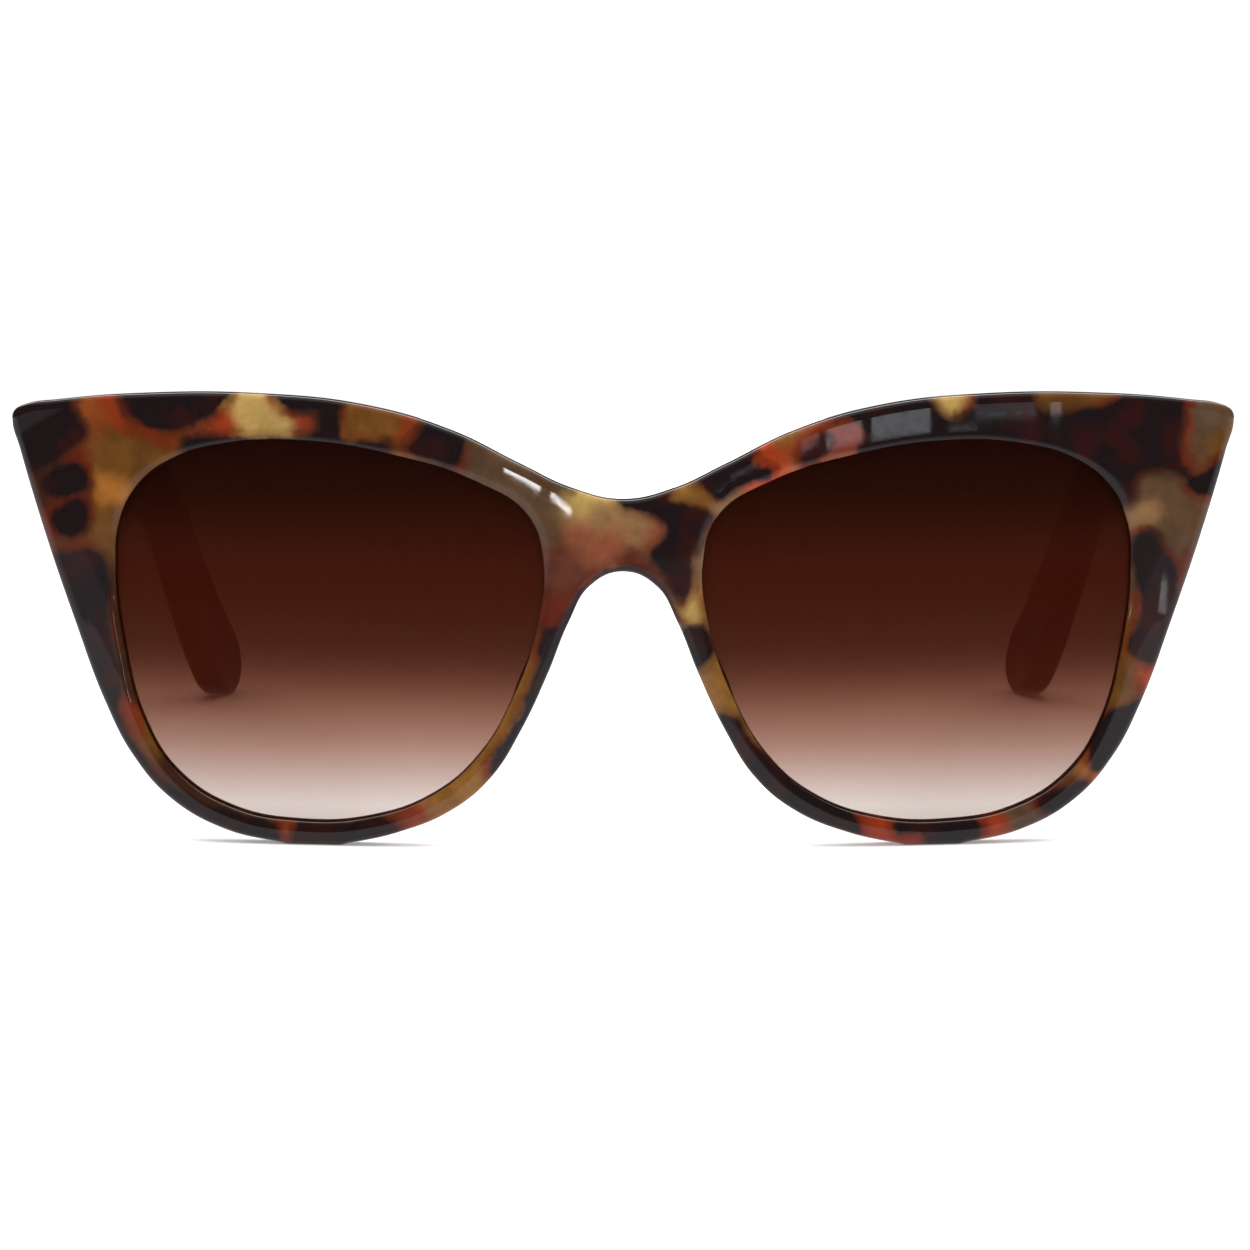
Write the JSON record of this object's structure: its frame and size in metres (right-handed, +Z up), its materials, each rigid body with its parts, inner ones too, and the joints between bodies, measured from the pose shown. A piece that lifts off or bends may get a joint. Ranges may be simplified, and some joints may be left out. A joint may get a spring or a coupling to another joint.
{
  "type": "cat eye sunglasses",
  "caption": "Acetate sunglasses with upswept outer corners, large curved tinted lenses, a low nose arch and temples that fold inwards on pinned barrel hinges.",
  "frame": {"origin": "on the surface the sunglasses stand on, under the middle of their bounding box", "axes": "+X towards the wearer's left, +Y from the front to the temple tips, +Z up"},
  "size_m": [0.1458, 0.1492, 0.0535],
  "materials": {
    "tortoise_acetate": "polished",
    "brown_lens": "polished, tint fading downwards",
    "nickel_silver": "satin",
    "screw_steel": "turned"
  },
  "bodies": {
    "front": {"frame_front": "tortoise_acetate", "lens_left": "brown_lens", "lens_right": "brown_lens", "nose_pad_left": "tortoise_acetate", "nose_pad_right": "tortoise_acetate", "hinge_front_leaf_left": "nickel_silver", "hinge_front_leaf_right": "nickel_silver", "hinge_screw_left": "screw_steel", "hinge_screw_right": "screw_steel"},
    "left_temple": {"temple_left": "tortoise_acetate", "temple_core_left": "nickel_silver", "hinge_temple_leaf_left": "nickel_silver"},
    "right_temple": {"temple_right": "tortoise_acetate", "temple_core_right": "nickel_silver", "hinge_temple_leaf_right": "nickel_silver"}
  },
  "joints": [
    {"name": "left_hinge", "type": "hinge", "parent": "front", "child": "left_temple", "pos_m": [0.0625, -0.05785, 0.0427], "axis": [0, 0, 1], "range_deg": [0, 90]},
    {"name": "right_hinge", "type": "hinge", "parent": "front", "child": "right_temple", "pos_m": [-0.0625, -0.05785, 0.0427], "axis": [0, 0, -1], "range_deg": [0, 84]}
  ]
}
